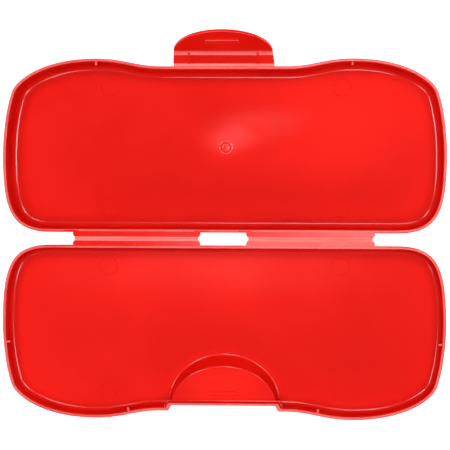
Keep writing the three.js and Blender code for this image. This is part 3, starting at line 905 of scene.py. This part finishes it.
def bridge_wedge(side):
    """A rib that is wide and high towards the root and runs out over the bevel at the knee."""
    start = BRIDGE_START + WEDGE_FROM_ROOT
    end = BRIDGE_END - WEDGE_FROM_KNEE
    middle = (side * WEDGE_AT, (start + end) / 2, INNER_FACE + (WEDGE_HEIGHT - WEDGE_BURIED) / 2)
    before_primitive()
    bpy.ops.mesh.primitive_cube_add(
        size=1, location=middle, scale=(WEDGE_WIDTH, end - start, WEDGE_HEIGHT + WEDGE_BURIED)
    )
    wedge = start_piece("wedge")
    pick("FACE", faces_up)
    bpy.ops.transform.resize(value=(*WEDGE_TOP, 1), center_override=middle)
    pick("VERT", lambda v: v.co.y > middle[1])
    bpy.ops.transform.resize(value=(WEDGE_KNEE_WIDTH, 1, 1), center_override=middle)
    pick("VERT", lambda v: v.co.y > middle[1] and v.co.z > INNER_FACE)
    bpy.ops.transform.translate(value=(0, 0, -WEDGE_HEIGHT / 2))
    leave_edit_mode()
    return round_edges(wedge, WEDGE_ROUND, segments=2)


bridge = latch_bridge()
for side in SIDES.values():
    combine(bridge, bridge_wedge(side), "UNION")
print("bridge:", len(bridge.data.polygons), "faces")

# %% [markdown]
# The tongue is a rounded flap. Its plan is a closed Bezier curve, filled and extruded, with a bevel
# at the knee and round edges. Across its inner face lies the catch: a wedge with a ramp towards the
# knee and a steep side towards the tip, which drops into the groove of the lid.

# %% The tongue and its catch
TONGUE_REACH = 15.8
TONGUE_START = FILM_WIDTH / 2
TONGUE_SIDE_LEAN = 0.4
TONGUE_SIDE_HANDLE = 8
TONGUE_TIP_HANDLE = 12.3
TONGUE_STEPS = 28
TONGUE_ROUND = 0.5
CATCH_HEIGHT = 0.75
CATCH_RAMP = 3
CATCH_BACK = 0.35
CATCH_BURIED = 0.5
CATCH_TOP_LENGTH = 0.97  # as a share of its length at its foot
CATCH_ROUND = 0.22


def tongue_plan():
    half = KNEE_WIDTH / 2
    side_x = half - TONGUE_SIDE_LEAN
    side_y = TONGUE_START + TONGUE_SIDE_HANDLE
    knots = [
        ((half / 3, TONGUE_START), (half, TONGUE_START), (side_x, side_y)),
        ((TONGUE_TIP_HANDLE, TONGUE_REACH), (0, TONGUE_REACH), (-TONGUE_TIP_HANDLE, TONGUE_REACH)),
        ((-side_x, side_y), (-half, TONGUE_START), (-half / 3, TONGUE_START)),
    ]
    before_primitive()
    bpy.ops.curve.primitive_bezier_curve_add()
    spline = bpy.context.object.data.splines[0]
    spline.bezier_points.add(1)
    for bezier, (before, knot, after) in zip(spline.bezier_points, knots):
        bezier.handle_left_type = bezier.handle_right_type = "FREE"
        bezier.co = (knot[0], knot[1], INNER_FACE)
        bezier.handle_left = (before[0], before[1], INNER_FACE)
        bezier.handle_right = (after[0], after[1], INNER_FACE)
    spline.use_cyclic_u = True
    spline.resolution_u = TONGUE_STEPS
    bpy.ops.object.convert(target="MESH")
    tongue = start_piece("latch_tongue_skin")
    bpy.ops.mesh.remove_doubles(threshold=SAME)
    pick("VERT", lambda v: v.co.y < TONGUE_START + SAME and abs(v.co.x) < half - NEAR)
    bpy.ops.mesh.dissolve_verts()
    bpy.ops.mesh.select_all(action="SELECT")
    bpy.ops.mesh.edge_face_add()
    push(0, 0, -LATCH_SKIN)
    face_outwards()
    pick("EDGE", lambda e: middle_of(e).z > INNER_FACE - NEAR and middle_of(e).y < TONGUE_START + SAME)
    bpy.ops.mesh.bevel(offset=INNER_FACE - HALF_FILM, segments=1, affect="EDGES")
    leave_edit_mode()
    return round_edges(tongue, TONGUE_ROUND, segments=4, angle=40)


def catch_wedge():
    start = CATCH_REACH - CATCH_RAMP
    end = CATCH_REACH + CATCH_BACK
    middle = (0, (start + end) / 2, INNER_FACE + (CATCH_HEIGHT - CATCH_BURIED) / 2)
    before_primitive()
    bpy.ops.mesh.primitive_cube_add(
        size=1, location=middle, scale=(CATCH_LENGTH, end - start, CATCH_HEIGHT + CATCH_BURIED)
    )
    wedge = start_piece("catch")
    pick("VERT", lambda v: v.co.z > INNER_FACE and v.co.y < middle[1])
    bpy.ops.transform.translate(value=(0, 0, -CATCH_HEIGHT))
    pick("VERT", lambda v: v.co.z > INNER_FACE + NEAR)
    bpy.ops.transform.resize(value=(CATCH_TOP_LENGTH, 1, 1), center_override=middle)
    leave_edit_mode()
    return round_edges(wedge, CATCH_ROUND, segments=3)


tongue = combine(tongue_plan(), catch_wedge(), "UNION")
print("tongue:", len(tongue.data.polygons), "faces")

# %% [markdown]
# The floors of the mould were sparked and the rest of it was polished. The tops of the rims and the
# sloped edges of the latch get a painted highlight, and what lies beside a film looks a little duller
# and deeper. So each face gets one of four material slots by its place and slope, while its piece still
# lies level with one of its films at y = 0.

# %% Mark the faces for their finishes
POLISHED_SLOT, SPARKED_SLOT, PAINTED_HIGHLIGHT_SLOT, FILM_SIDE_SLOT = range(4)
FLOORS_BELOW = -2
FLOOR_SLOPE = 0.98
GATE_RING = (2.9, 5)
RIM_EDGE_DEPTH = 0.4
RIM_EDGE_SLOPE = 0.3
LATCH_EDGE_SLOPES = (0.2, 0.96)
WEDGE_REACH = 1.5


def on_tray_floor(face):
    from_gate = (face.center.xy - Vector(GATE_AT)).length
    around_gate = GATE_RING[0] < from_gate < GATE_RING[1] and face.normal.z > 0
    return face.center.z < FLOORS_BELOW and (abs(face.normal.z) > FLOOR_SLOPE or around_gate)


# Faces that get the painted highlight: the upward faces along the top of the rims, away from the hinge.
def on_rim_edge(face):
    near_top = face.center.z > -RIM_EDGE_DEPTH and face.normal.z > RIM_EDGE_SLOPE
    return near_top and face.center.y > LEAF_ROOT


def beside_a_film(face):
    return face.center.y < LEAF_ROOT and face.center.z > -LEAF_THICKNESS


# Faces that get the painted highlight: the sloped rounds and bevels of the latch, except beside its
# wedges.
def on_latch_edge(face):
    beside_a_wedge = abs(abs(face.center.x) - WEDGE_AT) < WEDGE_REACH
    return LATCH_EDGE_SLOPES[0] < face.normal.z < LATCH_EDGE_SLOPES[1] and not beside_a_wedge


def mark_finishes(piece, tests):
    """Gives each face the slot of the first test that it passes. The others stay polished."""
    for slot in range(4):
        piece.data.materials.append(None)
    for face in piece.data.polygons:
        face.material_index = next((slot for slot, test in tests.items() if test(face)), POLISHED_SLOT)
    counts = [sum(face.material_index == slot for face in piece.data.polygons) for slot in range(4)]
    print(piece.name, "has", counts, "faces polished, sparked, on an edge and beside a film")


SHELL_TESTS = {SPARKED_SLOT: on_tray_floor, PAINTED_HIGHLIGHT_SLOT: on_rim_edge, FILM_SIDE_SLOT: beside_a_film}
LATCH_TESTS = {PAINTED_HIGHLIGHT_SLOT: on_latch_edge, FILM_SIDE_SLOT: beside_a_film}
for shell in (base_shell, lid_shell):
    mark_finishes(shell, SHELL_TESTS)
for flap in (bridge, tongue):
    mark_finishes(flap, LATCH_TESTS)

# %% [markdown]
# Only now does each piece move to its place. The root film starts level with the base, and the knee
# film starts where the bridge ends.

# %% Every piece to its place
PIECES = [
    (base_shell, BASE_PLACE), (lid_shell, LID_PLACE), (bridge, BRIDGE_PLACE), (tongue, TONGUE_PLACE),
    (root_film, BRIDGE_PLACE @ Matrix.Rotation(-BRIDGE_ANGLE, 4, "X")),
    (knee_film, BRIDGE_PLACE @ Matrix.Translation((0, BRIDGE_REACH, 0))),
    (films["left"], BASE_PLACE), (films["right"], BASE_PLACE),
]
for piece, place in PIECES:
    settle(piece, place)

# %% [markdown]
# Shader maths reads best as plain expressions, so a small class wraps a socket and adds a Math node
# for each operator. A finish is a material under construction, and its node method adds any other
# node. The rest of its methods name what they make: noise, a colour between two, a ramp, a spot on
# the floor, a relief.

# %% Shader maths as expressions
class Signal:
    """A number that varies over a surface."""

    def __init__(self, finish, socket):
        self.finish = finish
        self.socket = socket

    def maths(self, operation, first, second):
        node = self.finish.node("ShaderNodeMath", {"operation": operation}, {0: first, 1: second})
        return Signal(self.finish, node.outputs[0])

    def __add__(self, other):
        return self.maths("ADD", self, other)

    def __radd__(self, other):
        return self.maths("ADD", other, self)

    def __mul__(self, other):
        return self.maths("MULTIPLY", self, other)

    def __rmul__(self, other):
        return self.maths("MULTIPLY", other, self)


class Finish:
    """A material under construction."""

    def __init__(self, name):
        self.material = bpy.data.materials.new(name)
        self.material.use_nodes = True
        self.tree = self.material.node_tree
        self.plastic = self.tree.nodes["Principled BSDF"]
        self.place = self.node("ShaderNodeTexCoord").outputs["Object"]

    def node(self, kind, settings=None, values=None):
        """Any node, from its type, its settings and the values or links of its sockets."""
        node = self.tree.nodes.new(kind)
        for key, value in (settings or {}).items():
            setattr(node, key, value)
        for key, value in (values or {}).items():
            self.feed(node.inputs[key], value)
        return node

    def feed(self, socket, value):
        value = value.socket if isinstance(value, Signal) else value
        if isinstance(value, bpy.types.NodeSocket):
            self.tree.links.new(value, socket)
        else:
            socket.default_value = value

    def noise(self, grain, detail=2, stretch=(1, 1, 1), seed=0):
        """Noise whose grains are about so many millimetres across."""
        mapped = self.node(
            "ShaderNodeMapping", {}, {"Vector": self.place, "Scale": stretch, "Location": (seed, 0, 0)}
        )
        texture = self.node(
            "ShaderNodeTexNoise", {},
            {"Vector": mapped.outputs[0], "Scale": 1 / (grain * MM), "Detail": detail},
        )
        return Signal(self, texture.outputs[0])

    def tint(self, factor, low, high):
        """A colour between two, as factor goes from 0 to 1."""
        low, high = (end if isinstance(end, bpy.types.NodeSocket) else (*end, 1) for end in (low, high))
        node = self.node(
            "ShaderNodeMix", {"data_type": "RGBA", "clamp_factor": True}, {0: factor, 6: low, 7: high}
        )
        return node.outputs[2]

    def ramp(self, signal, low, high):
        """0 below low, 1 above high, smooth between."""
        node = self.node(
            "ShaderNodeMapRange", {"interpolation_type": "SMOOTHSTEP"},
            {"Value": signal, "From Min": low, "From Max": high},
        )
        return Signal(self, node.outputs[0])

    def spot(self, centre, size, turn=0):
        """1 in the middle of an ellipse on the floor and 0 past its edge, both given in millimetres."""
        moved = self.node(
            "ShaderNodeVectorMath", {"operation": "SUBTRACT"},
            {0: self.place, 1: (centre[0] * MM, centre[1] * MM, 0)},
        )
        mapped = self.node(
            "ShaderNodeMapping", {"vector_type": "TEXTURE"},
            {"Vector": moved.outputs[0], "Rotation": (0, 0, math.radians(turn)),
             "Scale": (size[0] * MM, size[1] * MM, 1)},
        )
        length = self.node("ShaderNodeVectorMath", {"operation": "LENGTH"}, {0: mapped.outputs[0]})
        return self.ramp(Signal(self, length.outputs["Value"]), 1, 0)

    def relief(self, height, depth):
        """Bump from a height between 0 and 1, that deep in millimetres."""
        node = self.node("ShaderNodeBump", {}, {"Height": height, "Strength": 1, "Distance": depth * MM})
        self.feed(self.plastic.inputs["Normal"], node.outputs[0])

    def surface(self, **values):
        for key, value in values.items():
            self.feed(self.plastic.inputs[key.replace("_", " ")], value)


# %% [markdown]
# Sparks roughened the floors of the mould, which leaves a fine matte grain. Red pigment is never spread
# quite evenly, so the floors drift between two close reds. Round the gate and along the lid the melt ran
# fast and came out smoother. A few soft patches paint light and shade into the floors' red: brighter
# round the gate, at the right of the base and over the lid, darker across the base towards the hinge and
# at the lid's right.

# %% The sparked floors
# Both ends also carry painted light: patches push the floor red towards the darker end as painted shade
# and towards the lighter end as painted sheen.
DARK_TONE_AND_SHADE_RED = (0.6, 0.004, 0.0016)
LIGHT_TONE_AND_SHEEN_RED = (0.86, 0.013, 0.007)
# Patches of painted light and shade on the floors: painted sheen where the share is positive, painted
# shade where it is negative.
PAINTED_LIGHT_PATCHES = [  # middle, half sizes, turn in degrees, how much brighter
    ((4, 4), (24, 13), 12, 0.5),
    ((55, 14), (70, 42), 10, 0.6),
    ((-8, -58), (110, 34), 0, 0.45),
    ((0, -107), (30, 14), 0, 0.6),
    ((-60, -80), (50, 60), 0, 0.15),
    ((10, -24), (95, 20), 0, -0.3),
    ((60, -95), (50, 30), 0, -0.15),
]
NEAR_GATE = ((2, 3), (16, 9), 10)
GATE_FAN = ((12, 9), (34, 12), 8)
LID_SIDE = ((-8, -56), (100, 16), 0)


def painted_light_and_shade(finish):
    """Painted light and shade: soft patches that make the floor red brighter or darker."""
    return sum(finish.spot(middle, size, turn) * share for middle, size, turn, share in PAINTED_LIGHT_PATCHES)


def flow_sheen(finish):
    """Smoother where the melt ran fast."""
    waves = finish.noise(9, 3, stretch=(0.5, 1, 1), seed=5)
    fans = finish.spot(*GATE_FAN) * waves * 0.45 + finish.spot(*LID_SIDE) * waves * 0.35
    return finish.spot(*NEAR_GATE) * 0.4 + fans


def sparked_finish_with_painted_light():
    finish = Finish("sparked_red_with_painted_light")
    drift = finish.ramp(finish.noise(34, 2), 0.35, 0.65)
    speckle = finish.noise(0.55, 3)
    pits = finish.noise(1.3, 2, seed=3)
    # Random pigment tone plus the patches of painted light and shade.
    brightness = drift * 0.15 + speckle * 0.25 + painted_light_and_shade(finish)
    finish.surface(
        Base_Color=finish.tint(brightness, DARK_TONE_AND_SHADE_RED, LIGHT_TONE_AND_SHEEN_RED),
        Roughness=0.32 + drift * 0.05 + speckle * 0.06,
        Specular_IOR_Level=0.05,
        Coat_Weight=flow_sheen(finish),
        Coat_Roughness=0.3,
    )
    finish.relief(speckle * 0.7 + pits * 0.5, 0.03)
    return finish.material


SPARKED = sparked_finish_with_painted_light()
print(SPARKED.name, "has", len(SPARKED.node_tree.nodes), "nodes")

# %% [markdown]
# The walls and the latch come out of the mould glossy, with faint streaks where the melt ran along them.
# One function makes three of these finishes: the walls are the glossiest, the leaves and what else lies
# beside a film mirror a little less, and the flap of the latch is painted a lighter red than the walls,
# as painted light on its tilted faces.

# %% The polished walls, leaves and flap
DEEP_RED = (0.66, 0.0035, 0.0015)
WARM_RED = (0.74, 0.0075, 0.0028)
# Painted light: the latch red is lighter than the walls' red, to light the tilted flap.
PAINTED_LIGHT_LATCH_RED = (0.84, 0.011, 0.006)


def polished_finish(name, low, high, gloss):
    finish = Finish(name)
    drift = finish.ramp(finish.noise(22, 2, seed=1), 0.3, 0.7)
    streaks = finish.noise(6, 3, stretch=(0.3, 1, 1), seed=2)
    ripple = finish.noise(2.4, 2)
    finish.surface(
        Base_Color=finish.tint(drift, low, high),
        Roughness=0.12 + streaks * 0.07,
        Specular_IOR_Level=gloss,
    )
    finish.relief(ripple, 0.012)
    return finish.material


POLISHED = polished_finish("polished_red", DEEP_RED, WARM_RED, gloss=0.5)
LEAF = polished_finish("leaf_red", DEEP_RED, WARM_RED, gloss=0.45)
FLAP = polished_finish("flap_red_painted_lighter", WARM_RED, PAINTED_LIGHT_LATCH_RED, gloss=0.45)
print("polished:", POLISHED.name, LEAF.name, FLAP.name)

# %% [markdown]
# The films are so thin that light comes through them, which makes them paler, and folding has whitened
# them in fine streaks. The films of the latch are bent at rest and paler still, and a line of painted
# shade darkens the groove along the knee. A see-through material would be slow and noisy for the same
# look, so these are plain pale reds.

# %% The films
FILM_RED = (0.92, 0.13, 0.11)
STREAK_RED = (0.97, 0.22, 0.19)
FOLD_RED = (0.95, 0.22, 0.19)
WHITENED_RED = (1, 0.34, 0.3)
KNEE_PAINTED_SHADE = ((0, KNEE_AXIS.y - 0.25), (3 * KNEE_WIDTH, 0.55))


def film_finish(name, low, high, painted_shade_line=None):
    finish = Finish(name)
    streaks = finish.ramp(finish.noise(1.2, 3, stretch=(0.12, 1, 1)), 0.3, 0.8)
    colour = finish.tint(streaks, low, high)
    # Painted shade: a dark line along the groove at the knee.
    if painted_shade_line:
        colour = finish.tint(finish.spot(*painted_shade_line), colour, DEEP_RED)
    finish.surface(Base_Color=colour, Roughness=0.42 + streaks * 0.1, Specular_IOR_Level=0.3)
    finish.relief(streaks, 0.01)
    return finish.material


THIN = film_finish("thin_film_red", FILM_RED, STREAK_RED)
FOLDED = film_finish("folded_film_red", FOLD_RED, WHITENED_RED, painted_shade_line=KNEE_PAINTED_SHADE)
print("films:", THIN.name, FOLDED.name)

# %% [markdown]
# The tops of the rims and the sloped edges of the latch are painted a paler, pinker red: a painted
# highlight for the light they catch from above.

# %% Painted highlights on the rims and the latch edges
# The colours of the painted highlight: a paler, pinker red than the walls.
PAINTED_HIGHLIGHT_RED = (0.72, 0.06, 0.052)
PALE_PAINTED_HIGHLIGHT_RED = (0.8, 0.09, 0.08)


def painted_highlight_finish():
    finish = Finish("painted_highlight_red")
    drift = finish.ramp(finish.noise(16, 2, seed=4), 0.3, 0.7)
    ripple = finish.noise(2.4, 2)
    finish.surface(
        Base_Color=finish.tint(drift, PAINTED_HIGHLIGHT_RED, PALE_PAINTED_HIGHLIGHT_RED),
        Roughness=0.22 + drift * 0.06,
        Specular_IOR_Level=0.5,
    )
    finish.relief(ripple, 0.012)
    return finish.material


EDGE = painted_highlight_finish()
print("edges:", EDGE.name)

# %% Finishes on the pieces
def dress(piece, finish):
    piece.data.materials.clear()
    piece.data.materials.append(finish)
    for face in piece.data.polygons:
        face.material_index = 0


for piece, main in ((base_shell, POLISHED), (lid_shell, POLISHED), (bridge, FLAP), (tongue, FLAP)):
    slots = {POLISHED_SLOT: main, SPARKED_SLOT: SPARKED, PAINTED_HIGHLIGHT_SLOT: EDGE, FILM_SIDE_SLOT: LEAF}
    for slot, finish in slots.items():
        piece.data.materials[slot] = finish
for piece in (root_film, knee_film):
    dress(piece, FOLDED)
for piece in films.values():
    dress(piece, THIN)
for node in frame["nodes"].values():
    dress(node, POLISHED)
print("dressed", len(PIECES), "pieces")

# %% [markdown]
# Each piece now rides on an empty for the body that carries it, and the nodes it stands for are hidden.
# The four films bend between two bodies, at a fine bead at the lid's hinge and over the whole width of
# the film at the root and the knee of the latch; here each is only baked in its place, and the web it
# stands for is hidden.

# %% Carry and replace
def sided(*starts):
    return [f"{start}_{word}" for word in SIDES for start in starts]


BASE_NODES = ["base_tray"] + sided("base_hinge_leaf", "base_locating_rib")
LID_NODES = ["lid_tray"] + sided("lid_hinge_leaf", "lid_locating_rib_front", "lid_locating_rib_side")
CASE_PIECES = {
    "base": (base_shell, BASE_NODES),
    "lid": (lid_shell, LID_NODES),
    "latch_bridge": (bridge, ["latch_bridge"] + sided("latch_bridge_rib")),
    "latch_tongue": (tongue, ["latch_tongue", "latch_catch_bar"]),
}
for body, (piece, nodes) in CASE_PIECES.items():
    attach(piece, body)
    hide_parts(*nodes)


def bend(piece, node):
    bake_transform(piece)
    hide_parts(node)


for word in SIDES:
    bend(films[word], f"hinge_web_{word}")
bend(root_film, "latch_root_web")
bend(knee_film, "latch_knee_web")
print("carried over:", len(BASE_NODES), "nodes of the base and", len(LID_NODES), "of the lid")

# %% [markdown]
# The case lies on a plain white table that glows a little, which keeps its shadows faint. Eight soft
# boxes stand in a ring round the case, so far out that the flat floors don't mirror them and the
# polished rounds do, which draws thin bright lines along them. Two smaller boxes hang overhead.

# %% Table and light
TABLE_SIZE = 8
TABLE_GLOW = 0.75
OFF_WHITE = (0.93, 0.93, 0.93)
PAPER_WHITE = (0.96, 0.96, 0.96)
CASE_MIDDLE = Vector((0, -0.035, 0))
RING_RADIUS = 0.75
RING_HEIGHT = 1.3
RING_BOX_SIZE = 0.26
TOP_BOX_SIZE = 0.22
SKY_STRENGTH = 0.12


def table():
    before_primitive()
    bpy.ops.mesh.primitive_plane_add(size=TABLE_SIZE)
    piece = start_piece("table")
    bpy.ops.mesh.subdivide(number_cuts=3)
    leave_edit_mode()
    finish = Finish("white_table")
    finish.surface(
        Base_Color=finish.tint(finish.noise(60), OFF_WHITE, PAPER_WHITE),
        Roughness=0.9,
        Specular_IOR_Level=0.1,
        Emission_Color=(1, 1, 1, 1),
        Emission_Strength=TABLE_GLOW,
    )
    piece.data.materials.append(finish.material)


def soft_box(name, place, size, watts):
    """A square area light that points at the middle of the case."""
    light = bpy.data.lights.new(name, "AREA")
    light.shape = "SQUARE"
    light.size = size
    light.energy = watts
    box = bpy.data.objects.new(name, light)
    bpy.context.collection.objects.link(box)
    box.location = place
    box.rotation_mode = "QUATERNION"
    box.rotation_quaternion = (CASE_MIDDLE - Vector(place)).to_track_quat("-Z", "Y")


table()
RING_WATTS = (3.6, 3.9, 2.6, 3.9, 3.8, 2.6, 1.9, 4)
for number, watts in enumerate(RING_WATTS):
    turn = math.tau * number / len(RING_WATTS)
    outwards = Vector((math.cos(turn), math.sin(turn), 0))
    place = CASE_MIDDLE + RING_RADIUS * outwards + Vector((0, 0, RING_HEIGHT))
    soft_box(f"ring_box_{number}", place, RING_BOX_SIZE, watts)
soft_box("overhead_box", (0.07, 0.07, 1.35), TOP_BOX_SIZE, 1.3)
soft_box("lid_box", (0, -0.2, 1.35), TOP_BOX_SIZE, 0.9)
world = bpy.data.worlds.new("studio")
bpy.context.scene.world = world
world.use_nodes = True
sky = world.node_tree.nodes["Background"]
sky.inputs["Color"].default_value = (1, 1, 1, 1)
sky.inputs["Strength"].default_value = SKY_STRENGTH
bpy.context.scene.view_settings.view_transform = "Standard"
print("lights:", len(bpy.data.lights))

# %% [markdown]
# The camera looks almost straight down from a metre above, a little from the right, through a long
# lens, which keeps the walls short and the two trays nearly the same size.

# %% Camera
VIEW_HEIGHT = 1.0
VIEW_SIDE = 0.065
VIEW_WIDTH = 0.202
VIEW_ROLL = math.radians(0.25)
SENSOR = 36
VIEW_CENTRE = (0.0008, -0.0357)
aim = Vector((*VIEW_CENTRE, BASE_HEIGHT * MM))
eye = aim + Vector((VIEW_SIDE, 0, VIEW_HEIGHT))
camera_data = bpy.data.cameras.new("camera")
camera_data.sensor_width = SENSOR
camera_data.lens = SENSOR * (eye - aim).length / VIEW_WIDTH
camera = bpy.data.objects.new("camera", camera_data)
bpy.context.collection.objects.link(camera)
camera.location = eye
back = (eye - aim).normalized()
right = Vector((0, 1, 0)).cross(back).normalized()
upright = Matrix((right, back.cross(right), back)).transposed()
camera.rotation_mode = "QUATERNION"
camera.rotation_quaternion = (upright @ Matrix.Rotation(VIEW_ROLL, 3, "Z")).to_quaternion()
bpy.context.scene.camera = camera
print("lens", round(camera_data.lens, 1))

# %% [markdown]
# Last, edit mode is left.

# %% Finish
leave_edit_mode()
